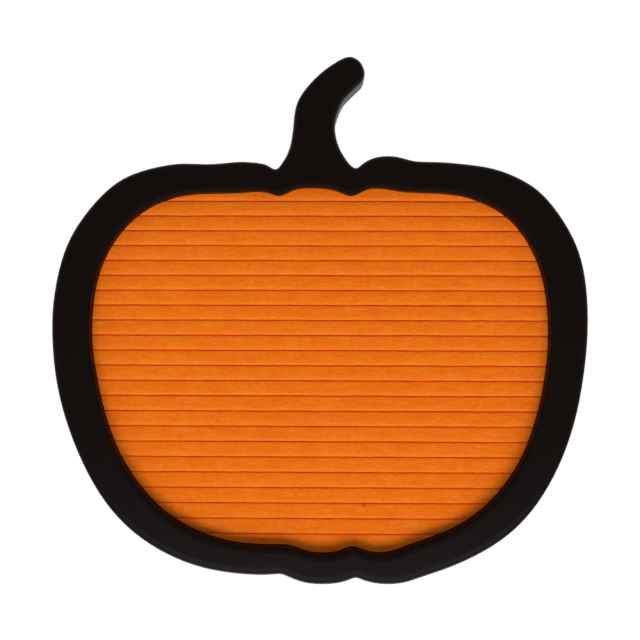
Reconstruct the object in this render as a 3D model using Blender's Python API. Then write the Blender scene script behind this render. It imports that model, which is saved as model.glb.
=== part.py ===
"""A pumpkin-shaped felt letter board, hung on a wall by a sawtooth hanger.

Metres, +Z up. The board faces -Y and its back lies in the plane Y = 0. Everything is drawn in board
coordinates, x from the board's middle line and z from its feet, and carried by an empty that brings the
hanger's middle notch to the origin.
"""

import math

import bmesh
import bpy
import numpy as np
from mathutils import Vector
from mathutils.geometry import intersect_line_line_2d

# Outline of the frame
BODY_WIDTH = 0.254  # over the widest part of the pumpkin
BODY_HEIGHT = 0.203  # feet to the top of the right crown lobe
STEM_HEIGHT = 0.047  # crown to the tip of the stem
SIDE_RAIL = 0.0176  # width of the frame beside the window
TOP_RAIL = 0.0145  # crown to the highest point of the window
BOTTOM_RAIL = 0.0137  # feet to the lowest point of the window
FACET_TURN = math.radians(6)  # an outline has a facet for each such turn
FACET_LENGTH = 0.009  # and one more for each such length
CURVE_STEPS = 24  # steps between two knots before the facets are chosen
LOOP_REACH = 40  # most points in a loop where an offset outline crosses itself

# Section of the frame
FRAME_DEPTH = 0.018
LIP_DEPTH = 0.009  # thickness of the lip in front of the felt
REBATE_WIDTH = 0.004  # how far the lip overlaps the felt
EDGE_ROUND = 0.002  # front outer edge
EDGE_FACETS = 3
LIP_ROUND = 0.0008  # front edge of the window
LIP_FACETS = 2
BACK_EASE = 0.0005  # back outer edge
CLEARANCE = 0.0003  # between pieces that touch

# Felt and its grooves
FELT_THICKNESS = 0.0009
FIRST_GROOVE = 0.0061  # window top to the first groove
TOP_STRIP = 0.00707  # groove to groove at the top
STRIP_GROWTH = 0.0000185  # each strip is this much taller than the one above
LAST_STRIP = 0.006  # least height left below the last groove
SLOT_WIDTH = 0.00055  # open gap between two strips
SLOT_DEPTH = 0.0028  # front of the felt to the bottom of the gap
FOLD_ROUND = 0.0006  # inside radius of the felt where it turns into a groove
FOLD_FACETS = (3, 2)  # in that turn, on the felt's front and on its back
LOOP_FACETS = (2, 4)  # in the turn at the bottom of a groove, front and back

# Core and backing
CORE_FLOOR = 0.001  # left under the milled grooves
RIB_EASE = 0.0003  # eased corners of the ribs
BACKING_THICKNESS = 0.0018

# Steel points that hold the backing
POINT_COUNT = 12
POINT_START = 0.2  # of a spacing, keeps the points clear of the outline's notches and the nails
POINT_WIDTH = 0.0055
POINT_THICKNESS = 0.0004
POINT_DRIVEN = 0.0055  # length inside the frame
POINT_FREE = 0.0085  # length over the backing
POINT_TIP = 0.003  # length of the tapered end

# Sawtooth hanger
HANGER_LENGTH = 0.024
HANGER_HEIGHT = 0.0056
HANGER_THICKNESS = 0.0007
HANGER_CROP = 0.0012  # cut off each corner
HANGER_ABOVE_REBATE = 0.0013
HANGER_RISE = 0.0013  # how far the middle stands off the ends
HANGER_RISEN_LENGTH = 0.0115
HANGER_RAMP = 0.0015
TOOTH_PITCH = 0.0022
TOOTH_HEIGHT = 0.0014
NOTCH_COUNT = 5
NAIL_SPACING = 0.0188
NAIL_RADIUS = 0.0006
NAIL_HEAD_RADIUS = 0.0015
NAIL_HEAD_THICKNESS = 0.0006
NAIL_LENGTH = 0.008
NAIL_TIP = 0.0018
NAIL_SIDES = 12

PAST = 0.002  # how far a cutter reaches past what it cuts
SHARP_EDGE = 35  # degrees between two faces that are not shaded as one

# The frame's outline as drawn, in millimetres from the middle line and the feet, counterclockwise from
# the notch at the left of the stem. Tight turns have closer points.
DRAWN_OUTLINE = [
    (-21.1, 196.8), (-25, 198.6), (-30.7, 199.9), (-37.8, 200.3), (-45, 199.7), (-54.5, 199.2),
    (-66.5, 199.4), (-80.5, 197), (-95, 191.2), (-109.7, 177.3), (-121, 158), (-126.3, 134.6),
    (-127, 120), (-125, 96.6), (-117, 68), (-102.2, 39.6), (-83, 20.6), (-59.2, 8.9),
    (-37.8, 4.9), (-24, 4.5), (-18.3, 4.7), (-14.1, 3.1), (-7.4, 0.8), (1.1, 0),
    (9.7, 0.8), (14.4, 2.3), (17.1, 3), (19.9, 2.1), (24.9, 0.7), (31.5, 0),
    (40, 0.8), (47.6, 3.2), (62, 8.2), (85.5, 20.6), (104, 39.6), (118, 68),
    (124.7, 96.6), (127, 122), (125.8, 144), (120.5, 163), (108.1, 182), (97.5, 190.7),
    (83.2, 196.7), (69, 199.1), (54.8, 200.2), (44.8, 200.6), (38.1, 202.3), (32, 203),
    (24.9, 201.9), (19.6, 198.9), (17.2, 197.3), (14.8, 198.4), (11.3, 202.9), (8.5, 208.6),
    (7.1, 216.2), (8, 221.9), (11.1, 229), (14.5, 232.8), (18, 236.2), (20.2, 238.5),
    (21.2, 242.1), (20, 246.1), (18, 248.5), (14.4, 250), (9.3, 248.5), (0.9, 242.8),
    (-6.6, 235.2), (-11.1, 227.6), (-12.5, 220), (-13.3, 212.4), (-15.2, 204.8), (-18.1, 199.6),
]
DRAWN_CROWN = 203  # height of the right crown lobe in that list
DRAWN_TIP = 250  # height of the stem's tip in it

# The window's outline, drawn the same way, counterclockwise from its left cusp under the stem.
DRAWN_WINDOW = [
    (-19.8, 184.7), (-24.8, 186.1), (-31, 186.7), (-40.7, 186), (-52.8, 185.8), (-67.2, 184.4),
    (-81.6, 178.9), (-94.1, 168.5), (-105.2, 149.2), (-109.4, 120.4), (-106.7, 96.3), (-98.6, 67.4),
    (-84, 43.3), (-66.6, 28.4), (-45.5, 19.9), (-31, 17.9), (-21.5, 17.6), (-15.7, 17.5),
    (-11.4, 16.3), (-5.1, 14.3), (2.1, 13.7), (8.9, 14.6), (13.2, 16.2), (16.1, 16.7),
    (19, 15.9), (23.3, 14.4), (29.1, 13.8), (34.9, 14.6), (43.5, 17.8), (59, 23.4),
    (75.8, 33.2), (89.8, 48.1), (100.1, 67.4), (107.6, 96.3), (109.4, 122.8), (105.5, 149.2),
    (95.3, 168.5), (84.4, 178), (70, 184), (55.6, 185.9), (42.6, 186.4), (36.8, 187.1),
    (29.1, 188.2), (22.3, 187.6), (18, 185.5), (15.1, 184.7), (12.2, 185.3), (6, 187.5),
    (-4.1, 188.5), (-11.4, 187.8), (-16.2, 185.8),
]

# Places that follow from the sizes, in board coordinates
BOARD_FRONT = -FRAME_DEPTH
FELT_FRONT = BOARD_FRONT + LIP_DEPTH + CLEARANCE
FELT_BACK = FELT_FRONT + FELT_THICKNESS
RIB_FRONT = FELT_BACK + CLEARANCE
GROOVE_FLOOR = FELT_FRONT + SLOT_DEPTH + FELT_THICKNESS + CLEARANCE
CORE_BACK = GROOVE_FLOOR + CORE_FLOOR
BACKING_FRONT = CORE_BACK + CLEARANCE
BACKING_BACK = BACKING_FRONT + BACKING_THICKNESS
POINT_FRONT = BACKING_BACK + CLEARANCE
POINT_BACK = POINT_FRONT + POINT_THICKNESS


def frame_points():
    """The drawn outline brought to the frame's width and its body and stem heights."""
    crown_scale = BODY_HEIGHT / DRAWN_CROWN
    stem_scale = STEM_HEIGHT / (DRAWN_TIP - DRAWN_CROWN)
    drawn_width = max(x for x, z in DRAWN_OUTLINE) - min(x for x, z in DRAWN_OUTLINE)
    across = BODY_WIDTH / drawn_width
    return [
        (x * across, min(z, DRAWN_CROWN) * crown_scale + max(z - DRAWN_CROWN, 0) * stem_scale)
        for x, z in DRAWN_OUTLINE
    ]


def window_points():
    """The drawn window brought to the room that the rails leave."""
    drawn = np.array(DRAWN_WINDOW)
    drawn_low = drawn.min(axis=0)
    drawn_high = drawn.max(axis=0)
    low = np.array([SIDE_RAIL - BODY_WIDTH / 2, BOTTOM_RAIL])
    high = np.array([BODY_WIDTH / 2 - SIDE_RAIL, BODY_HEIGHT - TOP_RAIL])
    return low + (drawn - drawn_low) * (high - low) / (drawn_high - drawn_low)


def smooth_outline(knots):
    """A closed cubic spline through the knots, as a ring of points that are closest where it turns."""
    knots = np.array(knots, float)
    count = len(knots)
    following = np.roll(knots, -1, axis=0)
    spans = np.sqrt(np.linalg.norm(following - knots, axis=1))[:, None]
    slopes = (following - knots) / spans
    system = np.zeros((count, count))
    for i in range(count):
        system[i, i - 1] = spans[i - 1, 0]
        system[i, i] = 2 * (spans[i - 1, 0] + spans[i, 0])
        system[i, (i + 1) % count] = spans[i, 0]
    bends = np.linalg.solve(system, 6 * (slopes - np.roll(slopes, 1, axis=0)))
    curve = []
    for i in range(count):
        j = (i + 1) % count
        t = np.arange(CURVE_STEPS)[:, None] / CURVE_STEPS
        lift = ((1 - t) ** 3 - (1 - t)) * bends[i] + (t**3 - t) * bends[j]
        curve.append((1 - t) * knots[i] + t * knots[j] + lift * spans[i] ** 2 / 6)
    curve = np.concatenate([*curve, knots[:1]])
    steps = np.diff(curve, axis=0)
    headings = np.unwrap(np.arctan2(steps[:, 1], steps[:, 0]))
    turns = np.abs(np.diff(headings, prepend=headings[0]))
    facets = np.cumsum(turns / FACET_TURN + np.linalg.norm(steps, axis=1) / FACET_LENGTH)
    facets = np.concatenate([[0], facets])
    places = np.linspace(0, facets[-1], math.ceil(facets[-1]), endpoint=False)
    return np.column_stack([np.interp(places, facets, curve[:, k]) for k in (0, 1)])


def outward_normals(ring):
    """The unit normal and the mitre factor at each point of a counterclockwise ring."""
    along = np.roll(ring, -1, axis=0) - ring
    along /= np.linalg.norm(along, axis=1)[:, None]
    sides = np.column_stack([along[:, 1], -along[:, 0]])
    normals = sides + np.roll(sides, 1, axis=0)
    normals /= np.linalg.norm(normals, axis=1)[:, None]
    return normals, 1 / (normals * sides).sum(axis=1)


def grown(ring, amount):
    """The ring moved outwards by a small amount, point for point."""
    normals, mitres = outward_normals(ring)
    return ring + normals * (mitres * amount)[:, None]


def routed(ring, amount):
    """The ring moved outwards by more than its cusps allow. Where it would cross itself, it is cut at
    the crossing, as a router's path is."""
    moved = [Vector(point) for point in grown(ring, amount)]
    leftmost = min(range(len(moved)), key=lambda i: moved[i].x)
    moved = moved[leftmost:] + moved[:leftmost]
    count = len(moved)
    result = []
    i = 0
    while i < count:
        result.append(moved[i])
        crossing = None
        for j in range(min(i + LOOP_REACH, count - 2), i + 1, -1):
            crossing = intersect_line_line_2d(moved[i], moved[i + 1], moved[j], moved[j + 1])
            if crossing:
                result.append(crossing)
                i = j
                break
        i += 1
    return np.array(result)


def height_at(ring, x):
    """The highest point of a ring over one x."""
    ends = np.roll(ring, -1, axis=0)
    heights = []
    for (x0, z0), (x1, z1) in zip(ring, ends):
        if min(x0, x1) <= x <= max(x0, x1) and x0 != x1:
            heights.append(z0 + (z1 - z0) * (x - x0) / (x1 - x0))
    return max(heights)


def material(name, colour, roughness, metallic=0.0):
    made = bpy.data.materials.new(name)
    made.use_nodes = True
    shader = made.node_tree.nodes["Principled BSDF"]
    shader.inputs["Base Color"].default_value = (*colour, 1)
    shader.inputs["Roughness"].default_value = roughness
    shader.inputs["Metallic"].default_value = metallic
    made.diffuse_color = (*colour, 1)
    return made


def body(name, rings, board, look=None):
    """A closed solid through rings of points, one behind another, with both ends filled."""
    mesh = bpy.data.meshes.new(name)
    bm = bmesh.new()
    loops = [[bm.verts.new(point) for point in ring] for ring in rings]
    for near, far in zip(loops, loops[1:]):
        for i in range(len(near)):
            bm.faces.new((near[i - 1], near[i], far[i], far[i - 1]))
    bm.faces.new(loops[0])
    bm.faces.new(loops[-1][::-1])
    bmesh.ops.recalc_face_normals(bm, faces=bm.faces)
    bm.to_mesh(mesh)
    bm.free()
    made = bpy.data.objects.new(name, mesh)
    bpy.context.scene.collection.objects.link(made)
    made.parent = board
    if look:
        mesh.materials.append(look)
    return made


def flat_ring(ring, y):
    return [(x, y, z) for x, z in ring]


def slab(name, ring, front, back, board, look=None):
    return body(name, [flat_ring(ring, front), flat_ring(ring, back)], board, look)


def cut(target, cutter, operation="DIFFERENCE"):
    """Cuts the target by the cutter, which stays as a wire guide."""
    cutter.hide_render = True
    cutter.display_type = "WIRE"
    modifier = target.modifiers.new(cutter.name, "BOOLEAN")
    modifier.operation = operation
    modifier.solver = "EXACT"
    modifier.object = cutter


def shade_round(made):
    made.data.shade_smooth()
    made.data.set_sharp_from_angle(angle=math.radians(SHARP_EDGE))


def quarter(radius, facets):
    """Pairs that run round a quarter circle: first from -radius to 0, second from 0 to radius."""
    angles = [math.pi / 2 * k / facets for k in range(facets + 1)]
    return [(radius * (math.sin(a) - 1), radius * (1 - math.cos(a))) for a in angles]


def make_frame(outline, window, rebate, board):
    """The painted MDF frame: a rounded blank, the window through it and the rebate from the back."""
    sections = [(inset, BOARD_FRONT + depth) for inset, depth in quarter(EDGE_ROUND, EDGE_FACETS)]
    sections += [(0, -BACK_EASE), (-BACK_EASE, 0)]
    rings = [flat_ring(grown(outline, amount), y) for amount, y in sections]
    frame = body("frame", rings, board, material("black_paint", (0.008, 0.007, 0.007), 0.6))
    sections = [(LIP_ROUND, BOARD_FRONT - PAST)]
    sections += [(-inset, BOARD_FRONT + depth) for inset, depth in quarter(LIP_ROUND, LIP_FACETS)]
    sections += [(0, PAST)]
    rings = [flat_ring(grown(window, amount), y) for amount, y in sections]
    cut(frame, body("window_cutter", rings, board))
    cut(frame, slab("rebate_cutter", rebate, BOARD_FRONT + LIP_DEPTH, PAST, board))
    shade_round(frame)
    return frame


def groove_heights(window):
    """Heights of the grooves from the top down, each strip a little taller than the one above."""
    height = window[:, 1].max() - FIRST_GROOVE
    lowest = window[:, 1].min() + LAST_STRIP
    strip = TOP_STRIP
    heights = []
    while height > lowest:
        heights.append(height)
        height -= strip
        strip += STRIP_GROWTH
    return heights


def arc(centre, radius, start, end, facets):
    """Points (y, z) on an arc, angles in degrees from +Z towards +Y."""
    angles = np.radians(np.linspace(start, end, facets + 1))
    return [(centre[0] + radius * math.sin(a), centre[1] + radius * math.cos(a)) for a in angles]


def felt_section(heights, low, high):
    """The felt's section (y, z): down its front with a fold into each groove, and back up behind it."""
    half_slot = SLOT_WIDTH / 2
    outer_round = FOLD_ROUND + FELT_THICKNESS
    fold_y = FELT_FRONT + outer_round
    loop_y = FELT_FRONT + SLOT_DEPTH - half_slot
    front = [(FELT_FRONT, high)]
    back = [(FELT_BACK, high)]
    for z in heights:
        above = z + half_slot + outer_round
        below = z - half_slot - outer_round
        front += arc((fold_y, above), outer_round, -90, -180, FOLD_FACETS[0])
        front += arc((loop_y, z), half_slot, 0, 180, LOOP_FACETS[0])
        front += arc((fold_y, below), outer_round, 0, -90, FOLD_FACETS[0])
        back += arc((fold_y, above), FOLD_ROUND, -90, -180, FOLD_FACETS[1])
        back += arc((loop_y, z), half_slot + FELT_THICKNESS, 0, 180, LOOP_FACETS[1])
        back += arc((fold_y, below), FOLD_ROUND, 0, -90, FOLD_FACETS[1])
    front.append((FELT_FRONT, low))
    back.append((FELT_BACK, low))
    return front + back[::-1]


def core_section(heights, low, high):
    """The core's section (y, z): ribs with eased corners and a groove for each fold of the felt."""
    half_groove = SLOT_WIDTH / 2 + FELT_THICKNESS + CLEARANCE
    points = [(CORE_BACK, high), (RIB_FRONT, high)]
    for z in heights:
        points += [
            (RIB_FRONT, z + half_groove + RIB_EASE),
            (RIB_FRONT + RIB_EASE, z + half_groove),
            (GROOVE_FLOOR, z + half_groove),
            (GROOVE_FLOOR, z - half_groove),
            (RIB_FRONT + RIB_EASE, z - half_groove),
            (RIB_FRONT, z - half_groove - RIB_EASE),
        ]
    return points + [(RIB_FRONT, low), (CORE_BACK, low)]


def grooved_panel(name, section, insert, board, look):
    """A level section run across the board and trimmed to the insert's outline."""
    half_run = BODY_WIDTH / 2
    rings = [[(x, y, z) for y, z in section] for x in (-half_run, half_run)]
    panel = body(name, rings, board, look)
    trimmer = slab(name + "_outline", insert, BOARD_FRONT, 0, board)
    cut(panel, trimmer, "INTERSECT")
    return panel


def make_panels(window, insert, board):
    """Felt, core and backing, which fill the rebate one behind another."""
    heights = groove_heights(window)
    low = insert[:, 1].min() - PAST
    high = insert[:, 1].max() + PAST
    felt_look = material("orange_felt", (0.78, 0.145, 0.008), 0.95)
    felt = grooved_panel("felt_sheet", felt_section(heights, low, high), insert, board, felt_look)
    shade_round(felt)
    core_look = material("core_board", (0.42, 0.28, 0.16), 0.85)
    grooved_panel("groove_board", core_section(heights, low, high), insert, board, core_look)
    backing_look = material("hardboard", (0.17, 0.085, 0.04), 0.7)
    slab("backing_panel", insert, BACKING_FRONT, BACKING_BACK, board, backing_look)


def point_outline(half_width, driven, free):
    """A framer's point seen flat: x into the frame, z along the rebate."""
    neck = driven - POINT_TIP
    side = [(driven, half_width / 4), (neck, half_width), (0, half_width), (-free, half_width / 2)]
    return [(x, -z) for x, z in reversed(side)] + side


def point_places(rebate):
    """Evenly spaced places on the rebate's wall, each with the angle that turns +X into the frame."""
    sides = np.linalg.norm(np.roll(rebate, -1, axis=0) - rebate, axis=1)
    reached = np.concatenate([[0], np.cumsum(sides)])
    normals, mitres = outward_normals(rebate)
    places = []
    for k in range(POINT_COUNT):
        i = int(np.searchsorted(reached, reached[-1] * (k + POINT_START) / POINT_COUNT)) % len(rebate)
        places.append((rebate[i], math.atan2(-normals[i][1], normals[i][0])))
    return places


def make_points(frame, rebate, board):
    """Flat steel points in slots of the rebate's wall, lying over the backing."""
    steel = material("point_steel", (0.55, 0.55, 0.53), 0.35, 1.0)
    half = POINT_WIDTH / 2
    shape = point_outline(half, POINT_DRIVEN, POINT_FREE)
    first = slab("retaining_point_01", shape, POINT_FRONT, POINT_BACK, board, steel)
    slot_shape = point_outline(half + CLEARANCE, POINT_DRIVEN + CLEARANCE, CLEARANCE)
    slot_front = POINT_FRONT - CLEARANCE
    slot_back = POINT_BACK + CLEARANCE
    for number, (place, angle) in enumerate(point_places(rebate), 1):
        name = f"retaining_point_{number:02d}"
        if number > 1:
            point = bpy.data.objects.new(name, first.data)
            bpy.context.scene.collection.objects.link(point)
            point.parent = board
        else:
            point = first
        point.location = (place[0], 0, place[1])
        point.rotation_euler = (0, angle, 0)
        slot = slab(f"point_slot_{number:02d}", slot_shape, slot_front, slot_back, board)
        slot.location = point.location
        slot.rotation_euler = point.rotation_euler
        cut(frame, slot)


def hanger_blank(foot):
    """The hanger's outline (x, z): cropped corners, and the row of notches along its foot."""
    half = HANGER_LENGTH / 2
    top = foot + HANGER_HEIGHT
    points = [
        (half, foot + HANGER_CROP),
        (half, top - HANGER_CROP),
        (half - HANGER_CROP, top),
        (HANGER_CROP - half, top),
        (-half, top - HANGER_CROP),
        (-half, foot + HANGER_CROP),
        (HANGER_CROP - half, foot),
    ]
    row_start = -TOOTH_PITCH * NOTCH_COUNT / 2
    for k in range(NOTCH_COUNT):
        points.append((row_start + TOOTH_PITCH * k, foot))
        points.append((row_start + TOOTH_PITCH * (k + 0.5), foot + TOOTH_HEIGHT))
    return points + [(-row_start, foot), (half - HANGER_CROP, foot)]


def hanger_bend():
    """The hanger's section (x, y): its ends flat on the frame, its middle standing off."""
    half = HANGER_LENGTH / 2 + PAST
    risen = HANGER_RISEN_LENGTH / 2
    ramp = risen + HANGER_RAMP
    away = CLEARANCE + HANGER_RISE
    near = [(-half, CLEARANCE), (-ramp, CLEARANCE), (-risen, away)]
    near += [(-x, y) for x, y in reversed(near)]
    return near + [(x, y + HANGER_THICKNESS) for x, y in reversed(near)]


def round_ring(x, z, radius, y):
    angles = [2 * math.pi * k / NAIL_SIDES for k in range(NAIL_SIDES)]
    return [(x + radius * math.cos(a), y, z + radius * math.sin(a)) for a in angles]


def make_nail(name, x, z, board, look):
    """A small nail driven forwards, its head on the hanger. Returns the y of its point."""
    head_front = CLEARANCE + HANGER_THICKNESS + CLEARANCE
    tip = head_front - NAIL_LENGTH
    sections = [
        (NAIL_RADIUS / 4, tip),
        (NAIL_RADIUS, tip + NAIL_TIP),
        (NAIL_RADIUS, head_front),
        (NAIL_HEAD_RADIUS, head_front),
        (NAIL_HEAD_RADIUS, head_front + NAIL_HEAD_THICKNESS),
    ]
    shade_round(body(name, [round_ring(x, z, radius, y) for radius, y in sections], board, look))
    return tip


def make_hanger(frame, foot, board):
    """The pressed sawtooth hanger and its two nails. foot is the height of its teeth's tips."""
    zinc = material("zinc_plate", (0.6, 0.6, 0.58), 0.4, 1.0)
    bend = hanger_bend()
    rings = [[(x, y, z) for x, y in bend] for z in (foot - PAST, foot + HANGER_HEIGHT + PAST)]
    hanger = body("sawtooth_hanger", rings, board, zinc)
    past_back = HANGER_RISE + HANGER_THICKNESS + PAST
    cut(hanger, slab("hanger_outline", hanger_blank(foot), 0, past_back, board), "INTERSECT")
    middle = foot + HANGER_HEIGHT / 2
    for side, x in (("left", -NAIL_SPACING / 2), ("right", NAIL_SPACING / 2)):
        tip = make_nail(f"hanger_nail_{side}", x, middle, board, zinc)
        hole = [round_ring(x, middle, NAIL_RADIUS + CLEARANCE, y) for y in (tip - CLEARANCE, PAST)]
        drill = body(f"nail_drill_{side}", hole, board)
        cut(frame, drill)
        cut(hanger, drill)


def make_board():
    for old in list(bpy.data.objects):
        bpy.data.objects.remove(old)
    outline = smooth_outline(frame_points())
    window = smooth_outline(window_points())
    rebate = routed(window, REBATE_WIDTH)
    insert = routed(window, REBATE_WIDTH - CLEARANCE)
    hanger_foot = height_at(rebate, 0) + HANGER_ABOVE_REBATE
    board = bpy.data.objects.new("board", None)
    bpy.context.scene.collection.objects.link(board)
    board.location = (0, 0, -(hanger_foot + TOOTH_HEIGHT))
    frame = make_frame(outline, window, rebate, board)
    make_panels(window, insert, board)
    make_points(frame, rebate, board)
    make_hanger(frame, hanger_foot, board)


make_board()
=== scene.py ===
"""The felt letter board's finish: painted MDF, felt, hardboard and plated steel, lit in white."""

import math

import bmesh
import bpy
import numpy as np
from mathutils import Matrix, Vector, noise


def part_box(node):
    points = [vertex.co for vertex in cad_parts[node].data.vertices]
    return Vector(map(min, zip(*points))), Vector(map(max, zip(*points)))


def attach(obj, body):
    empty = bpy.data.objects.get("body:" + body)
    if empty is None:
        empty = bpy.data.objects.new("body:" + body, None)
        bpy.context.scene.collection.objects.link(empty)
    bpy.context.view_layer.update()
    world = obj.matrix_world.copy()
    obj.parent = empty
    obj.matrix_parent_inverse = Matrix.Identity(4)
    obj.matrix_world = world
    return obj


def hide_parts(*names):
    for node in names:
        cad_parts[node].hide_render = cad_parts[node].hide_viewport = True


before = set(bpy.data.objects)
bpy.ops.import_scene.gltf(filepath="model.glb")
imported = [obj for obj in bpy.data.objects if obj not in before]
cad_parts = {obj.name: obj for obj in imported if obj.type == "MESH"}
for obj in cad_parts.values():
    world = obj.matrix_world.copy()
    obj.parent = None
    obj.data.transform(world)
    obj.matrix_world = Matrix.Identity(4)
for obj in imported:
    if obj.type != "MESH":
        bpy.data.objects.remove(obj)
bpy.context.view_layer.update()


# The frame is one piece of 18 mm MDF. It is routed to the outline of a pumpkin with a curved stem,
# rounded over at the front and rebated round the window from the back, then sprayed matte black
# all over.
FRAME_FRONT = -0.018
OUTER_ROUND = 0.002
LIP_ROUND = 0.0008
BACK_EASE = 0.0005
EDGE_SUPPORT = 0.0003
FACE_SOFTENING = 0.0022
MERGE_WITHIN = 0.00001
FLAT_WITHIN = math.radians(0.3)
SMOOTH_UP_TO = math.radians(50)
SQUARE_ON = 0.99
JUST_PAST = 0.0001


def linear(hex_colour):
    """An sRGB hex colour as the linear one that a shader takes."""
    parts = [int(hex_colour[i : i + 2], 16) / 255 for i in (1, 3, 5)]
    return (*[c / 12.92 if c <= 0.04045 else ((c + 0.055) / 1.055) ** 2.4 for c in parts], 1.0)


def add_node(tree, kind, inputs, **settings):
    """Adds a shader node. Each input takes a value, or the output of another node."""
    node = tree.nodes.new("ShaderNode" + kind)
    for name, value in settings.items():
        setattr(node, name, value)
    for name, value in inputs.items():
        if isinstance(value, bpy.types.NodeSocket):
            tree.links.new(value, node.inputs[name])
        else:
            node.inputs[name].default_value = value
    return node


def new_material(name, roughness, metallic, specular):
    """A material with its Principled shader, the node tree and the object's own coordinates."""
    material = bpy.data.materials.new(name)
    material.use_nodes = True
    tree = material.node_tree
    shader = tree.nodes["Principled BSDF"]
    shader.inputs["Roughness"].default_value = roughness
    shader.inputs["Metallic"].default_value = metallic
    shader.inputs["Specular IOR Level"].default_value = specular
    place = add_node(tree, "TexCoord", {}).outputs["Object"]
    return material, tree, shader, place


def copied(node_name, piece_name):
    """A copy of a CAD node as a closed mesh with whole faces, in edit mode and all selected."""
    bpy.ops.object.select_all(action="DESELECT")
    piece = bpy.data.objects.new(piece_name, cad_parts[node_name].data.copy())
    bpy.context.scene.collection.objects.link(piece)
    piece.select_set(True)
    bpy.context.view_layer.objects.active = piece
    bpy.ops.object.mode_set(mode="EDIT")
    bpy.ops.mesh.select_all(action="SELECT")
    bpy.ops.mesh.remove_doubles(threshold=MERGE_WITHIN)
    bpy.ops.mesh.dissolve_limited(angle_limit=FLAT_WITHIN)
    bpy.ops.mesh.select_all(action="SELECT")
    return piece


def select_faces(wanted):
    """In edit mode, selects the faces whose centre and normal pass the test, and nothing else."""
    bpy.ops.mesh.select_all(action="DESELECT")
    bpy.ops.mesh.select_mode(type="FACE")
    mesh = bpy.context.edit_object.data
    shape = bmesh.from_edit_mesh(mesh)
    for face in shape.faces:
        face.select_set(wanted(face.calc_center_median(), face.normal))
    bmesh.update_edit_mesh(mesh)


def select_edges(wanted):
    """In edit mode, selects the edges whose two ends pass the test, and nothing else."""
    bpy.ops.mesh.select_all(action="DESELECT")
    bpy.ops.mesh.select_mode(type="EDGE")
    mesh = bpy.context.edit_object.data
    shape = bmesh.from_edit_mesh(mesh)
    for edge in shape.edges:
        edge.select_set(wanted(edge.verts[0].co, edge.verts[1].co))
    bmesh.update_edit_mesh(mesh)


def finish_piece(piece, material, slot, *nodes):
    """Gives a piece its material and its place in the frame."""
    bpy.ops.object.mode_set(mode="OBJECT")
    piece.data.materials.clear()
    piece.data.materials.append(material)
    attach(piece, "root")
    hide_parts(*nodes)


# A cut just behind each rounded edge keeps the shading of the rounds off the walls, and the inset
# in the front face lets them run out softly, as sprayed paint does.
painted_frame = copied("frame", "painted_frame")
for edge_round in (LIP_ROUND, OUTER_ROUND):
    bpy.ops.mesh.select_all(action="SELECT")
    bpy.ops.mesh.bisect(
        plane_co=(0, FRAME_FRONT + edge_round + EDGE_SUPPORT, 0), plane_no=(0, 1, 0)
    )
select_faces(
    lambda centre, normal: normal.y < -SQUARE_ON and centre.y < FRAME_FRONT + JUST_PAST
)
bpy.ops.mesh.inset(thickness=FACE_SOFTENING, use_even_offset=True)
select_edges(lambda a, b: min(a.y, b.y) > -BACK_EASE - JUST_PAST)
bpy.ops.mesh.mark_sharp()
bpy.ops.mesh.select_all(action="SELECT")
bpy.ops.object.mode_set(mode="OBJECT")
bpy.ops.object.shade_smooth_by_angle(angle=SMOOTH_UP_TO, keep_sharp_edges=True)

# Sprayed matte lacquer on MDF: near black and slightly warm, with a spray grain about 1 mm wide.
# The routed outer edge is drawn greyer, in patches, as a painted highlight for the light that it
# catches and reflects, and it shows raised fibre. The window's edge faces inwards and is left
# black. The fibre is thinner than a tenth of a millimetre in truth and is drawn 0.35 mm wide here,
# so that it shows.
PAINT_BLACK = "#0D0504"
EDGE_PAINTED_HIGHLIGHT = "#302C2B"
PAINT_ROUGHNESS = (0.24, 0.32)
PAINT_GLOSS = 0.034
PAINT_RELIEF = 0.00006
EDGE_ROUGHER = 0.18
EDGE_GLOSS = 0.15
FACE_BEGINS = 0.999
EDGE_IS_FULL = 0.45
WINDOW_MIDDLE = (0, 0, -0.085)
STEM_FOOT = 0.0
TURN_FADE = 0.01
SPRAY_GRAIN = 0.0009
RAISED_FIBRE = 0.00035
PAINT_PATCH = 0.03
PATCH_LEAST = 0.75
# Nearly all of a noise pattern lies between these two values.
NOISE_LOW, NOISE_HIGH = 0.3, 0.7
# A Mix node's two colours and its result are found by number, counted from 0.
MIX_A, MIX_B, MIXED = 6, 7, 2
black_lacquer, tree, shader, place = new_material(
    "matte_black_lacquer_on_mdf", roughness=0.28, metallic=0.0, specular=PAINT_GLOSS
)
normal = add_node(tree, "TexCoord", {}).outputs["Normal"]
facing = add_node(tree, "SeparateXYZ", {"Vector": normal}).outputs["Y"]
facing = add_node(tree, "Math", {0: facing}, operation="ABSOLUTE").outputs[0]
routed_edge = add_node(
    tree, "MapRange", {"Value": facing, "From Min": FACE_BEGINS, "From Max": EDGE_IS_FULL}
).outputs[0]
from_middle = add_node(
    tree, "VectorMath", {0: place, 1: WINDOW_MIDDLE}, operation="SUBTRACT"
).outputs[0]
outwards = add_node(
    tree, "VectorMath", {0: from_middle, 1: normal}, operation="DOT_PRODUCT"
).outputs["Value"]
outwards = add_node(
    tree, "MapRange", {"Value": outwards, "From Min": -TURN_FADE, "From Max": TURN_FADE}
).outputs[0]
in_stem = add_node(tree, "SeparateXYZ", {"Vector": place}).outputs["Z"]
in_stem = add_node(tree, "Math", {0: in_stem, 1: STEM_FOOT}, operation="GREATER_THAN").outputs[0]
outer_edge = add_node(tree, "Math", {0: outwards, 1: in_stem}, operation="MAXIMUM").outputs[0]
outer_edge = add_node(
    tree, "Math", {0: outer_edge, 1: routed_edge}, operation="MULTIPLY"
).outputs[0]
spray = add_node(
    tree, "TexNoise", {"Vector": place, "Scale": 1 / SPRAY_GRAIN, "Detail": 3.0}
).outputs[0]
fibre = add_node(
    tree, "TexNoise", {"Vector": place, "Scale": 1 / RAISED_FIBRE, "Detail": 2.0}
).outputs[0]
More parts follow.
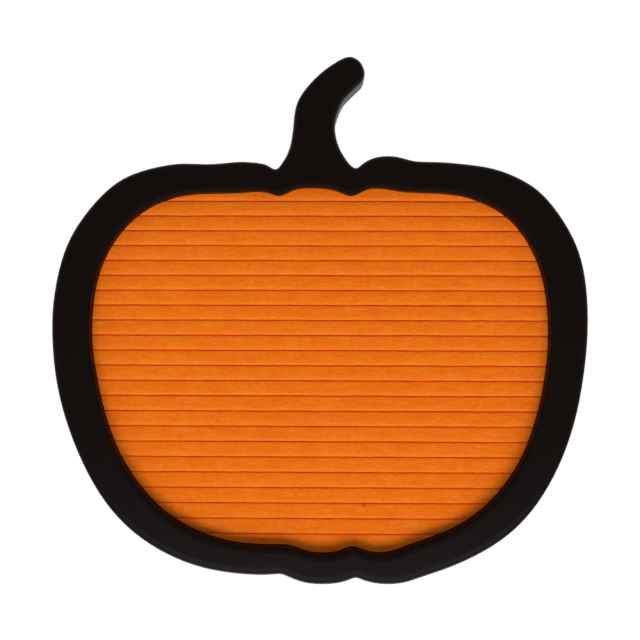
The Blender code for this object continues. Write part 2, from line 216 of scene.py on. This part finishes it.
patches = add_node(
    tree, "TexNoise", {"Vector": place, "Scale": 1 / PAINT_PATCH, "Detail": 4.0}
).outputs[0]
patches = add_node(
    tree,
    "MapRange",
    {"Value": patches, "From Min": NOISE_LOW, "From Max": NOISE_HIGH, "To Min": PATCH_LEAST},
).outputs[0]
# Painted highlight: how much of the outer edge is drawn in the lighter grey for the light it
# catches.
painted_highlight_share = add_node(tree, "Math", {0: outer_edge, 1: patches}, operation="MULTIPLY").outputs[0]
colour = add_node(
    tree,
    "Mix",
    {0: painted_highlight_share, MIX_A: linear(PAINT_BLACK), MIX_B: linear(EDGE_PAINTED_HIGHLIGHT)},
    data_type="RGBA",
).outputs[MIXED]
tree.links.new(colour, shader.inputs["Base Color"])
gloss = add_node(
    tree, "MapRange", {"Value": outer_edge, "To Min": PAINT_GLOSS, "To Max": EDGE_GLOSS}
).outputs[0]
tree.links.new(gloss, shader.inputs["Specular IOR Level"])
roughness = add_node(
    tree,
    "MapRange",
    {
        "Value": spray,
        "From Min": NOISE_LOW,
        "From Max": NOISE_HIGH,
        "To Min": PAINT_ROUGHNESS[0],
        "To Max": PAINT_ROUGHNESS[1],
    },
).outputs[0]
roughness = add_node(
    tree, "Math", {0: routed_edge, 1: EDGE_ROUGHER, 2: roughness}, operation="MULTIPLY_ADD"
).outputs[0]
tree.links.new(roughness, shader.inputs["Roughness"])
height = add_node(
    tree, "Math", {0: fibre, 1: outer_edge, 2: spray}, operation="MULTIPLY_ADD"
).outputs[0]
relief = add_node(
    tree, "Bump", {"Height": height, "Strength": 0.25, "Distance": PAINT_RELIEF}
).outputs[0]
tree.links.new(relief, shader.inputs["Normal"])
finish_piece(painted_frame, black_lacquer, "frame_paint", "frame")


# The felt is one sheet of needled polyester felt, 0.9 mm thick. It is laid on the grooved core and
# pressed into each of the 23 grooves, so that it stands as soft strips whose lips nearly meet, and
# is trimmed to the rebate.
FELT_LOW, FELT_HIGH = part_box("felt_sheet")
FELT_FRONT = FELT_LOW.y
FELT_THICKNESS = 0.0009
GROOVE_COUNT = 23
FIRST_GROOVE = -0.01266
TOP_STRIP = 0.00707
STRIP_GROWTH = 0.0000185
GROOVES = [
    FIRST_GROOVE - TOP_STRIP * k - STRIP_GROWTH * k * (k - 1) / 2 for k in range(GROOVE_COUNT)
]
HALF_MOUTH = 0.00006
HALF_SLOT = 0.00028
SLOT_DEPTH = 0.0028
LOOP_DEPTH = SLOT_DEPTH - HALF_SLOT
LIP_TURN = 0.0007
LIP_STEPS = 6
BACK_TURN = 0.0006
QUARTER_TURN = np.radians([0, 45, 90])
HALF_TURN = np.radians([0, 45, 90, 135, 180])
CROWN_STEPS = (0.0, 0.25, 0.5, 0.75)
# Each strip's edges droop before they turn into the groove: lengths, and how steep in degrees.
UPPER_STRIP_DROOP = ((0.0006, 5), (0.0008, 12), (0.0004, 22))
LOWER_STRIP_DROOP = ((0.0003, 8), (0.0002, 18))
# The strips are not quite level and even: they fall to the right, the more the lower they are, and
# from the sheet's middle down they sag by up to 0.4 mm.
TOP_FALL = 0.0017
FALL_GAIN = 0.028
STRIP_SAG = (0.00002, 0.0010, -0.00071)
# Each ripple: waves to the metre along the strips and across them, and where its noise is taken.
LONG_WAVE = (55, 900, 3)
SHORT_WAVE = (160, 900, 8)
MOUTH_RIPPLE = (110, 700, 21)
WIDE_DENT = (70, 160, 40)
SMALL_DENT = (230, 260, 60)
SHORT_WAVE_SHARE = 0.6
SMALL_DENT_SHARE = 0.5
WAVE_HEIGHT = 0.00016
MOUTH_WAVE = 0.00008
STRIP_CROWN = 0.00010
UNEVENNESS = 0.00004
FOLD_CALM = 0.9
FELT_COLUMNS = 74
TRIM_MARGIN = 0.002
TRIMMER_REACH = 0.009
SHEET_MERGE = 0.000001


def lip(droop):
    """A strip's edge from its flat face to a groove's mouth: pairs of depth and way towards it."""
    depth, way = 0.0, 0.0
    points = [(depth, way)]
    for length, turn in droop:
        depth += length * math.sin(math.radians(turn))
        way += length * math.cos(math.radians(turn))
        points.append((depth, way))
    begun = math.radians(droop[-1][1])
    for turn in np.linspace(begun, math.pi / 2, LIP_STEPS)[1:]:
        points.append(
            (
                depth + LIP_TURN * (math.cos(begun) - math.cos(turn)),
                way + LIP_TURN * (math.sin(turn) - math.sin(begun)),
            )
        )
    return points


def felt_front():
    """The sheet's front from the top down: depth, height, and share of the strip's crown."""
    rows = []
    top = FELT_HIGH.z + TRIM_MARGIN
    over, under = lip(UPPER_STRIP_DROOP), lip(LOWER_STRIP_DROOP)
    for groove in GROOVES:
        face_end = groove + HALF_MOUTH + over[-1][1]
        for share in CROWN_STEPS:
            rows.append((0, top + (face_end - top) * share, 1 - (2 * share - 1) ** 2))
        rows += [(depth, face_end - way, 0) for depth, way in over]
        for turn in HALF_TURN:
            depth = LOOP_DEPTH + HALF_SLOT * math.sin(turn)
            rows.append((depth, groove + HALF_SLOT * math.cos(turn), 0))
        top = groove - HALF_MOUTH - under[-1][1]
        rows += [(depth, top + way, 0) for depth, way in reversed(under[1:])]
    return rows + [(0, top, 0), (0, FELT_LOW.z - TRIM_MARGIN, 0)]


def felt_back():
    """The sheet's back from the foot up, written as the front is."""
    rows = [(FELT_THICKNESS, FELT_LOW.z - TRIM_MARGIN, 0)]
    reach = HALF_SLOT + FELT_THICKNESS
    for groove in reversed(GROOVES):
        for turn in QUARTER_TURN:
            side = BACK_TURN * (1 - math.sin(turn))
            depth = FELT_THICKNESS + BACK_TURN * (1 - math.cos(turn))
            rows.append((depth, groove - reach - side, 0))
        for turn in reversed(HALF_TURN):
            depth = LOOP_DEPTH + reach * math.sin(turn)
            rows.append((depth, groove + reach * math.cos(turn), 0))
        for turn in reversed(QUARTER_TURN):
            side = BACK_TURN * (1 - math.sin(turn))
            depth = FELT_THICKNESS + BACK_TURN * (1 - math.cos(turn))
            rows.append((depth, groove + reach + side, 0))
    return rows + [(FELT_THICKNESS, FELT_HIGH.z + TRIM_MARGIN, 0)]


def ripple(x, z, along, across, taken_at):
    """Smooth noise at a place on the sheet."""
    return noise.noise(Vector((x * along, z * across, taken_at)))


front = felt_front()
section = np.array(front + felt_back() + front[:1])
bpy.ops.object.select_all(action="DESELECT")
bpy.ops.mesh.primitive_grid_add(
    x_subdivisions=FELT_COLUMNS, y_subdivisions=len(section) - 1, size=1
)
felt = bpy.context.object
felt.name = felt.data.name = "orange_felt_sheet"
corners = np.empty(len(felt.data.vertices) * 3)
felt.data.vertices.foreach_get("co", corners)
corners = corners.reshape(-1, 3)
row = np.rint((0.5 - corners[:, 1]) * (len(section) - 1)).astype(int)
width = FELT_HIGH.x - FELT_LOW.x + 2 * TRIM_MARGIN
across = FELT_LOW.x - TRIM_MARGIN + (corners[:, 0] + 0.5) * width
for point, (x, (depth, z, crown)) in enumerate(zip(across, section[row])):
    groove = min(GROOVES, key=lambda g: abs(g - z))
    wave = ripple(x, groove, *LONG_WAVE) + SHORT_WAVE_SHARE * ripple(x, groove, *SHORT_WAVE)
    mouth = ripple(x, groove, *MOUTH_RIPPLE) * math.copysign(1, z - groove)
    soft = ripple(x, z, *WIDE_DENT) + SMALL_DENT_SHARE * ripple(x, z, *SMALL_DENT)
    shallow = 1 - FOLD_CALM * min(depth / SLOT_DEPTH, 1)
    fall = (TOP_FALL - FALL_GAIN * z) * x
    down = (z - GROOVES[0]) / (GROOVES[-1] - GROOVES[0])
    sag = STRIP_SAG[0] + STRIP_SAG[1] * down + STRIP_SAG[2] * down**2
    corners[point] = (
        x,
        FELT_FRONT + depth + (UNEVENNESS * soft - STRIP_CROWN * crown) * shallow,
        z + (WAVE_HEIGHT * wave - fall - sag + MOUTH_WAVE * mouth) * shallow,
    )
felt.data.vertices.foreach_set("co", corners.ravel())
felt.data.update()
bpy.ops.object.mode_set(mode="EDIT")
bpy.ops.mesh.select_all(action="SELECT")
bpy.ops.mesh.remove_doubles(threshold=SHEET_MERGE)
bpy.ops.mesh.fill_holes(sides=0)
bpy.ops.mesh.select_all(action="SELECT")
bpy.ops.mesh.normals_make_consistent(inside=False)
bpy.ops.object.mode_set(mode="OBJECT")

# It is trimmed with a cutter of the backing's outline, which reaches forward past the felt.
trimmer = copied("backing_panel", "felt_trimmer")
select_faces(lambda centre, normal: normal.y < -SQUARE_ON)
bpy.ops.transform.translate(value=(0, -TRIMMER_REACH, 0))
bpy.ops.object.mode_set(mode="OBJECT")
trim = felt.modifiers.new("trim", "BOOLEAN")
trim.operation = "INTERSECT"
trim.solver = "EXACT"
trim.object = trimmer
bpy.ops.object.select_all(action="DESELECT")
felt.select_set(True)
bpy.context.view_layer.objects.active = felt
bpy.ops.object.modifier_apply(modifier=trim.name)
bpy.data.objects.remove(trimmer)
bpy.ops.object.shade_smooth_by_angle(angle=SMOOTH_UP_TO)

# Needled felt: short fibres lying every way, pressed flat, dyed one orange that blends light and
# dark fibres. They are 0.02 mm thick in truth and are drawn about 0.35 mm wide here, in three
# layers at three angles, so that they show. Fuzz and clumps of fibre lie over them.
FELT_ORANGE = "#E56D10"
FELT_DARK = "#D55803"
FELT_LIGHT = "#F2862E"
FELT_YELLOW = "#E4750E"
FELT_RED = "#E86416"
FELT_SHEEN = "#FFC890"
FELT_RELIEF = 0.00012
STRAND_LAYERS = ((4, 0.0), (62, 3.0), (118, 7.0))
STRAND_SHAPE = (0.6, 1, 4)
STRAND_SIZE = 0.0014
CLUMP_SHAPE = (0.4, 1, 1.7)
CLUMP_SIZE = 0.005
FUZZ_SIZE = 0.0004
FUZZ_IN_COLOUR = 0.4
FUZZ_IN_RELIEF = 1.5
DYE_PATCH = 0.005
DYE_LOW, DYE_HIGH = 0.35, 0.65
DYE_SHARE = 0.4
FLECKS_DARK, FLECKS_MIDDLE, FLECKS_LIGHT = 1.45, 2.2, 2.95
orange_felt, tree, shader, place = new_material(
    "needled_polyester_felt", roughness=0.95, metallic=0.0, specular=0.05
)
shader.inputs["Sheen Weight"].default_value = 0.08
shader.inputs["Sheen Roughness"].default_value = 0.5
shader.inputs["Sheen Tint"].default_value = linear(FELT_SHEEN)
strands = None
for turned, moved in STRAND_LAYERS:
    laid = add_node(
        tree,
        "Mapping",
        {
            "Vector": place,
            "Location": (moved, 0, moved),
            "Rotation": (0, math.radians(turned), 0),
            "Scale": STRAND_SHAPE,
        },
    ).outputs[0]
    strand = add_node(
        tree, "TexNoise", {"Vector": laid, "Scale": 1 / STRAND_SIZE, "Detail": 2.0}
    ).outputs[0]
    if strands:
        strand = add_node(tree, "Math", {0: strands, 1: strand}, operation="ADD").outputs[0]
    strands = strand
laid = add_node(tree, "Mapping", {"Vector": place, "Scale": CLUMP_SHAPE}).outputs[0]
clumps = add_node(
    tree,
    "TexNoise",
    {"Vector": laid, "Scale": 1 / CLUMP_SIZE, "Detail": 5.0, "Roughness": 0.65},
).outputs[0]
fuzz = add_node(
    tree,
    "TexNoise",
    {"Vector": place, "Scale": 1 / FUZZ_SIZE, "Detail": 3.0, "Distortion": 1.5},
).outputs[0]
flecks = add_node(tree, "Math", {0: clumps, 1: strands}, operation="ADD").outputs[0]
flecks = add_node(
    tree, "Math", {0: fuzz, 1: FUZZ_IN_COLOUR, 2: flecks}, operation="MULTIPLY_ADD"
).outputs[0]
light_share = add_node(
    tree, "MapRange", {"Value": flecks, "From Min": FLECKS_MIDDLE, "From Max": FLECKS_LIGHT}
).outputs[0]
dark_share = add_node(
    tree, "MapRange", {"Value": flecks, "From Min": FLECKS_MIDDLE, "From Max": FLECKS_DARK}
).outputs[0]
blending = add_node(
    tree, "TexNoise", {"Vector": place, "Scale": 1 / DYE_PATCH, "Detail": 3.0}
).outputs[0]
dye = add_node(
    tree, "MapRange", {"Value": blending, "From Min": DYE_LOW, "From Max": DYE_HIGH}
).outputs[0]
dye = add_node(
    tree, "Mix", {0: dye, MIX_A: linear(FELT_RED), MIX_B: linear(FELT_YELLOW)}, data_type="RGBA"
).outputs[MIXED]
colour = add_node(
    tree, "Mix", {0: DYE_SHARE, MIX_A: linear(FELT_ORANGE), MIX_B: dye}, data_type="RGBA"
).outputs[MIXED]

# Where a strip's foot turns down, towards the low lamp, it is drawn lighter: a painted highlight.
# Deep in a fold the colour is purer, from light that has gone from fibre to fibre, and on a face
# that looks up this begins sooner. One small dark nick lies under a groove, low and right of the
# middle.
FELT_DEEP = "#F85800"
FELT_NICKED = "#BE4204"
LIP_HIGHLIGHT_FROM, LIP_HIGHLIGHT_TO = -0.05, -0.3
LIP_HIGHLIGHT_MOST = 0.3
FOLD_BEGINS, FOLD_IS_FULL = 0.00022, 0.0005
SOONER_FACING_UP = 0.0003
NICK_PLACE = (0.0212, FELT_FRONT, -0.1589)
NICK_EDGE, NICK_CORE = 0.0015, 0.0004
NICK_MOST = 0.75
normal = add_node(tree, "TexCoord", {}).outputs["Normal"]
upwards = add_node(tree, "SeparateXYZ", {"Vector": normal}).outputs["Z"]
# Painted highlight: faces that look down, towards the low lamp, are drawn lighter.
painted_lip_highlight = add_node(
    tree,
    "MapRange",
    {
        "Value": upwards,
        "From Min": LIP_HIGHLIGHT_FROM,
        "From Max": LIP_HIGHLIGHT_TO,
        "To Max": LIP_HIGHLIGHT_MOST,
    },
).outputs[0]
depth = add_node(tree, "SeparateXYZ", {"Vector": place}).outputs["Y"]
depth = add_node(
    tree, "Math", {0: upwards, 1: SOONER_FACING_UP, 2: depth}, operation="MULTIPLY_ADD"
).outputs[0]
folded = add_node(
    tree,
    "MapRange",
    {
        "Value": depth,
        "From Min": FELT_FRONT + FOLD_BEGINS,
        "From Max": FELT_FRONT + FOLD_IS_FULL,
    },
).outputs[0]
from_nick = add_node(
    tree, "VectorMath", {0: place, 1: NICK_PLACE}, operation="DISTANCE"
).outputs["Value"]
nicked = add_node(
    tree,
    "MapRange",
    {"Value": from_nick, "From Min": NICK_EDGE, "From Max": NICK_CORE, "To Max": NICK_MOST},
).outputs[0]
for share, shade in (
    (light_share, FELT_LIGHT),
    (dark_share, FELT_DARK),
    (painted_lip_highlight, FELT_LIGHT),
    (folded, FELT_DEEP),
    (nicked, FELT_NICKED),
):
    colour = add_node(
        tree, "Mix", {0: share, MIX_A: colour, MIX_B: linear(shade)}, data_type="RGBA"
    ).outputs[MIXED]
tree.links.new(colour, shader.inputs["Base Color"])
height = add_node(
    tree, "Math", {0: fuzz, 1: FUZZ_IN_RELIEF, 2: strands}, operation="MULTIPLY_ADD"
).outputs[0]
relief = add_node(
    tree, "Bump", {"Height": height, "Strength": 0.35, "Distance": FELT_RELIEF}
).outputs[0]
tree.links.new(relief, shader.inputs["Normal"])
finish_piece(felt, orange_felt, "felt", "felt_sheet")


# The core is a milled MDF board with a groove under each fold of the felt. It lies in the frame's
# rebate, where the backing holds it against the felt, and shows only when the board is taken apart.

# Raw milled MDF: dull light brown with darker chips. Its fibre is drawn in flecks of 0.8 mm,
# coarser than in truth, so that they show.
MDF_BROWN = "#AE9070"
MDF_DARK = "#8F7355"
MDF_FLECK = 0.0008
MDF_RELIEF = 0.0001
raw_mdf, tree, shader, place = new_material(
    "milled_raw_mdf", roughness=0.85, metallic=0.0, specular=0.3
)
chips = add_node(
    tree, "TexNoise", {"Vector": place, "Scale": 1 / MDF_FLECK, "Detail": 4.0}
).outputs[0]
colour = add_node(
    tree, "Mix", {0: chips, MIX_A: linear(MDF_DARK), MIX_B: linear(MDF_BROWN)}, data_type="RGBA"
).outputs[MIXED]
tree.links.new(colour, shader.inputs["Base Color"])
relief = add_node(
    tree, "Bump", {"Height": chips, "Strength": 0.3, "Distance": MDF_RELIEF}
).outputs[0]
tree.links.new(relief, shader.inputs["Normal"])
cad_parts["groove_board"].material_slots[0].material = raw_mdf


# The backing is a 1.8 mm hardboard panel, smooth side out, which closes the rebate behind the
# core. It is pressed from brown wood fibre and cut to the rebate's outline.

# Pressed hardboard: brown and slightly waxy, clouded where the pulp flowed, with short fibres that
# are drawn 0.6 mm wide, coarser than in truth, so that they show.
HARDBOARD_BROWN = "#7A5638"
HARDBOARD_DARK = "#553722"
PULP_CLOUD = 0.02
PULP_FIBRE = 0.0006
CLOUD_SHARE = 0.6
PULP_LOW, PULP_HIGH = 0.5, 1.1
HARDBOARD_RELIEF = 0.00008
hardboard, tree, shader, place = new_material(
    "pressed_brown_hardboard", roughness=0.6, metallic=0.0, specular=0.4
)
flow = add_node(
    tree,
    "TexNoise",
    {"Vector": place, "Scale": 1 / PULP_CLOUD, "Detail": 5.0, "Distortion": 0.8},
).outputs[0]
fibre = add_node(
    tree, "TexNoise", {"Vector": place, "Scale": 1 / PULP_FIBRE, "Detail": 3.0}
).outputs[0]
pulp = add_node(
    tree, "Math", {0: flow, 1: CLOUD_SHARE, 2: fibre}, operation="MULTIPLY_ADD"
).outputs[0]
pulp = add_node(
    tree, "MapRange", {"Value": pulp, "From Min": PULP_LOW, "From Max": PULP_HIGH}
).outputs[0]
colour = add_node(
    tree,
    "Mix",
    {0: pulp, MIX_A: linear(HARDBOARD_DARK), MIX_B: linear(HARDBOARD_BROWN)},
    data_type="RGBA",
).outputs[MIXED]
tree.links.new(colour, shader.inputs["Base Color"])
relief = add_node(
    tree, "Bump", {"Height": fibre, "Strength": 0.2, "Distance": HARDBOARD_RELIEF}
).outputs[0]
tree.links.new(relief, shader.inputs["Normal"])
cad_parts["backing_panel"].material_slots[0].material = hardboard


# Twelve framer's points hold the backing. Each is a flat tab punched from rolled steel strip and
# driven into the rebate's wall.

# Rolled steel: bright grey with fine lines along the rolling, drawn 0.2 mm wide and over 3 mm
# long, coarser than in truth, so that they show.
STEEL_LIGHT = "#B9B8B4"
STEEL_DARK = "#94938F"
STEEL_ROUGHNESS = (0.28, 0.42)
STEEL_RELIEF = 0.00003
ROLLING_LINE = 0.0002
ROLLING_SHAPE = (1, 1, 0.06)
POINT_COUNT = 12
bright_steel, tree, shader, place = new_material(
    "rolled_steel_strip", roughness=0.35, metallic=1.0, specular=0.5
)
laid = add_node(tree, "Mapping", {"Vector": place, "Scale": ROLLING_SHAPE}).outputs[0]
rolling = add_node(
    tree, "TexNoise", {"Vector": laid, "Scale": 1 / ROLLING_LINE, "Detail": 2.0}
).outputs[0]
colour = add_node(
    tree,
    "Mix",
    {0: rolling, MIX_A: linear(STEEL_DARK), MIX_B: linear(STEEL_LIGHT)},
    data_type="RGBA",
).outputs[MIXED]
tree.links.new(colour, shader.inputs["Base Color"])
roughness = add_node(
    tree,
    "MapRange",
    {
        "Value": rolling,
        "From Min": NOISE_LOW,
        "From Max": NOISE_HIGH,
        "To Min": STEEL_ROUGHNESS[0],
        "To Max": STEEL_ROUGHNESS[1],
    },
).outputs[0]
tree.links.new(roughness, shader.inputs["Roughness"])
relief = add_node(
    tree, "Bump", {"Height": rolling, "Strength": 0.15, "Distance": STEEL_RELIEF}
).outputs[0]
tree.links.new(relief, shader.inputs["Normal"])
for number in range(1, POINT_COUNT + 1):
    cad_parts[f"retaining_point_{number:02d}"].material_slots[0].material = bright_steel


# The hanger is pressed from 0.7 mm steel and zinc plated. Its middle stands off the frame on two
# bends, and the row of notches along its foot sits on the wall nail.
BEND_PLACES = (0.00575, 0.00725)
BEND_WITHIN = 0.00002
BEND_ROUND = 0.0004
BEND_STEPS = 4
ROLLED_EDGE = 0.00012
ROLLED_STEPS = 2
hanger = copied("sawtooth_hanger", "pressed_hanger")
select_edges(
    lambda a, b: abs(a.x - b.x) < MERGE_WITHIN
    and abs(a.y - b.y) < MERGE_WITHIN
    and min(abs(abs(a.x) - bend) for bend in BEND_PLACES) < BEND_WITHIN
)
bpy.ops.mesh.bevel(offset=BEND_ROUND, segments=BEND_STEPS, affect="EDGES")
bpy.ops.object.mode_set(mode="OBJECT")
rolled_edge = hanger.modifiers.new("rolled_edge", "BEVEL")
rolled_edge.width = ROLLED_EDGE
rolled_edge.segments = ROLLED_STEPS
rolled_edge.angle_limit = SMOOTH_UP_TO
bpy.ops.object.modifier_apply(modifier=rolled_edge.name)
bpy.ops.object.shade_smooth_by_angle(angle=SMOOTH_UP_TO)

# Bright zinc plating: a cool grey metal with fine cloudy spangle and hardly any gloss.
ZINC_LIGHT = "#B4B6B4"
ZINC_DARK = "#8E9193"
ZINC_ROUGHNESS = (0.38, 0.52)
ZINC_RELIEF = 0.00005
ZINC_CLOUD = 0.0015
zinc_plate, tree, shader, place = new_material(
    "bright_zinc_plate", roughness=0.45, metallic=1.0, specular=0.5
)
cloud = add_node(
    tree, "TexNoise", {"Vector": place, "Scale": 1 / ZINC_CLOUD, "Detail": 3.0}
).outputs[0]
colour = add_node(
    tree, "Mix", {0: cloud, MIX_A: linear(ZINC_DARK), MIX_B: linear(ZINC_LIGHT)}, data_type="RGBA"
).outputs[MIXED]
tree.links.new(colour, shader.inputs["Base Color"])
roughness = add_node(
    tree,
    "MapRange",
    {
        "Value": cloud,
        "From Min": NOISE_LOW,
        "From Max": NOISE_HIGH,
        "To Min": ZINC_ROUGHNESS[0],
        "To Max": ZINC_ROUGHNESS[1],
    },
).outputs[0]
tree.links.new(roughness, shader.inputs["Roughness"])
relief = add_node(
    tree, "Bump", {"Height": cloud, "Strength": 0.1, "Distance": ZINC_RELIEF}
).outputs[0]
tree.links.new(relief, shader.inputs["Normal"])
finish_piece(hanger, zinc_plate, "hanger_zinc", "sawtooth_hanger")


# Two small round-headed nails fix the hanger's ends. They are zinc-plated wire, 8 mm long, driven
# through the hanger's holes into the frame. Each is drawn out to a point at its foot, and upset
# into a low dome at its head.
NAIL_RADIUS = 0.0006
NAIL_SIDES = 32
TIP_LENGTH = 0.0018
TIP_BLUNTNESS = 0.15
HEAD_RADIUS = 0.0015
HEAD_THICKNESS = 0.0006
HEAD_RIM = 0.4
# The dome over the rim: each step's rise as a share of the head's thickness, and how it narrows.
HEAD_DOME = ((0.35, 0.85), (0.25, 0.6))
NAIL_MERGE = 0.000005
for side in ("left", "right"):
    low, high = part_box(f"hanger_nail_{side}")
    middle = (low + high) / 2
    shank_foot = low.y + TIP_LENGTH
    head_foot = high.y - HEAD_THICKNESS
    bpy.ops.object.select_all(action="DESELECT")
    bpy.ops.mesh.primitive_cylinder_add(
        vertices=NAIL_SIDES,
        radius=NAIL_RADIUS,
        depth=head_foot - shank_foot,
        location=(middle.x, (head_foot + shank_foot) / 2, middle.z),
        rotation=(math.radians(90), 0, 0),
    )
    nail = bpy.context.object
    nail.name = nail.data.name = f"round_head_nail_{side}"
    bpy.ops.object.transform_apply()
    bpy.ops.object.mode_set(mode="EDIT")
    select_faces(lambda centre, normal: normal.y < -SQUARE_ON)
    bpy.ops.mesh.extrude_region_move(TRANSFORM_OT_translate={"value": (0, -TIP_LENGTH, 0)})
    bpy.ops.transform.resize(value=(TIP_BLUNTNESS, 1, TIP_BLUNTNESS))
    select_faces(lambda centre, normal: normal.y > SQUARE_ON)
    bpy.ops.mesh.extrude_region_move(TRANSFORM_OT_translate={"value": (0, 0, 0)})
    bpy.ops.transform.resize(value=(HEAD_RADIUS / NAIL_RADIUS, 1, HEAD_RADIUS / NAIL_RADIUS))
    bpy.ops.mesh.extrude_region_move(
        TRANSFORM_OT_translate={"value": (0, HEAD_THICKNESS * HEAD_RIM, 0)}
    )
    for rise, share in HEAD_DOME:
        bpy.ops.mesh.extrude_region_move(
            TRANSFORM_OT_translate={"value": (0, HEAD_THICKNESS * rise, 0)}
        )
        bpy.ops.transform.resize(value=(share, 1, share))
    bpy.ops.mesh.select_all(action="SELECT")
    bpy.ops.mesh.remove_doubles(threshold=NAIL_MERGE)
    bpy.ops.mesh.normals_make_consistent(inside=False)
    bpy.ops.object.mode_set(mode="OBJECT")
    bpy.ops.object.shade_smooth_by_angle(angle=SMOOTH_UP_TO)
    finish_piece(nail, zinc_plate, "hanger_zinc", f"hanger_nail_{side}")


# The studio: a pale floor well below the hanging board, a large soft lamp low in front of it, two
# weaker ones under it and behind it, and white all round. The floor goes over to plain white away
# from the board, so that no edge of it shows.
FLOOR_HEIGHT = -1.1
FLOOR_RADIUS = 3.0
FLOOR_SIDES = 96
FLOOR_PAPER = "#F2F2F0"
WHITE = (1, 1, 1, 1)
FADE_FROM, FADE_TO = 1.0, 2.2
FADE_LEAST = 0.7
bpy.ops.object.select_all(action="DESELECT")
bpy.ops.mesh.primitive_circle_add(
    vertices=FLOOR_SIDES, radius=FLOOR_RADIUS, fill_type="NGON", location=(0, 0, FLOOR_HEIGHT)
)
floor = bpy.context.object
floor.name = "studio_floor"
bpy.ops.object.transform_apply()
pale_floor = bpy.data.materials.new("pale_paper_floor")
pale_floor.use_nodes = True
tree = pale_floor.node_tree
tree.nodes.remove(tree.nodes["Principled BSDF"])
place = add_node(tree, "TexCoord", {}).outputs["Object"]
away = add_node(tree, "VectorMath", {0: place}, operation="LENGTH").outputs["Value"]
fade = add_node(
    tree,
    "MapRange",
    {"Value": away, "From Min": FADE_FROM, "From Max": FADE_TO, "To Min": FADE_LEAST},
).outputs[0]
seen = add_node(tree, "LightPath", {}).outputs["Is Camera Ray"]
share = add_node(tree, "Math", {0: fade, 1: seen}, operation="MULTIPLY").outputs[0]
paper = add_node(tree, "BsdfDiffuse", {"Color": linear(FLOOR_PAPER)}).outputs[0]
white = add_node(tree, "Emission", {"Color": WHITE, "Strength": 1.0}).outputs[0]
blend = add_node(tree, "MixShader", {0: share, 1: paper, 2: white}).outputs[0]
tree.links.new(blend, tree.nodes["Material Output"].inputs["Surface"])
floor.data.materials.append(pale_floor)

# The world is white to the camera and in reflections, and dimmer as light.
AMBIENT = 0.4
world = bpy.data.worlds.new("white_studio")
bpy.context.scene.world = world
world.use_nodes = True
tree = world.node_tree
rays = add_node(tree, "LightPath", {}).outputs
seen = add_node(
    tree, "Math", {0: rays["Is Camera Ray"], 1: rays["Is Glossy Ray"]}, operation="ADD"
).outputs[0]
seen = add_node(
    tree, "Math", {0: seen, 1: rays["Is Transmission Ray"]}, operation="ADD", use_clamp=True
).outputs[0]
strength = add_node(tree, "MapRange", {"Value": seen, "To Min": AMBIENT}).outputs[0]
tree.nodes["Background"].inputs["Color"].default_value = WHITE
tree.links.new(strength, tree.nodes["Background"].inputs["Strength"])

# Each lamp: its name, its place, its width and height in metres, and its power in watts.
LAMPS = (
    ("front_lamp", Vector((0.03, -1.2, -0.74)), 1.2, 0.5, 13.9),
    ("foot_lamp", Vector((0.0, 0.03, -0.6)), 0.6, 0.2, 2.5),
    ("back_lamp", Vector((-0.4, 0.9, 0.3)), 0.8, 0.8, 6.5),
)
LAMPS_AIM = Vector((0, -0.009, -0.08))
for name, place, width, height, watts in LAMPS:
    bpy.ops.object.light_add(type="AREA", location=place)
    lamp = bpy.context.object
    lamp.name = name
    lamp.rotation_euler = (LAMPS_AIM - place).to_track_quat("-Z", "Y").to_euler()
    lamp.data.shape = "RECTANGLE"
    lamp.data.size = width
    lamp.data.size_y = height
    lamp.data.energy = watts
    lamp.visible_camera = False


# The camera stands square to the board, about half a metre in front of it.
CAMERA_PLACE = (0.0, -0.550, -0.0698)
CAMERA_LENS = 63.36
bpy.ops.object.camera_add(location=CAMERA_PLACE, rotation=(math.radians(90), 0, 0))
camera = bpy.context.object
camera.data.lens = CAMERA_LENS
bpy.context.scene.camera = camera
bpy.context.scene.view_settings.view_transform = "Standard"
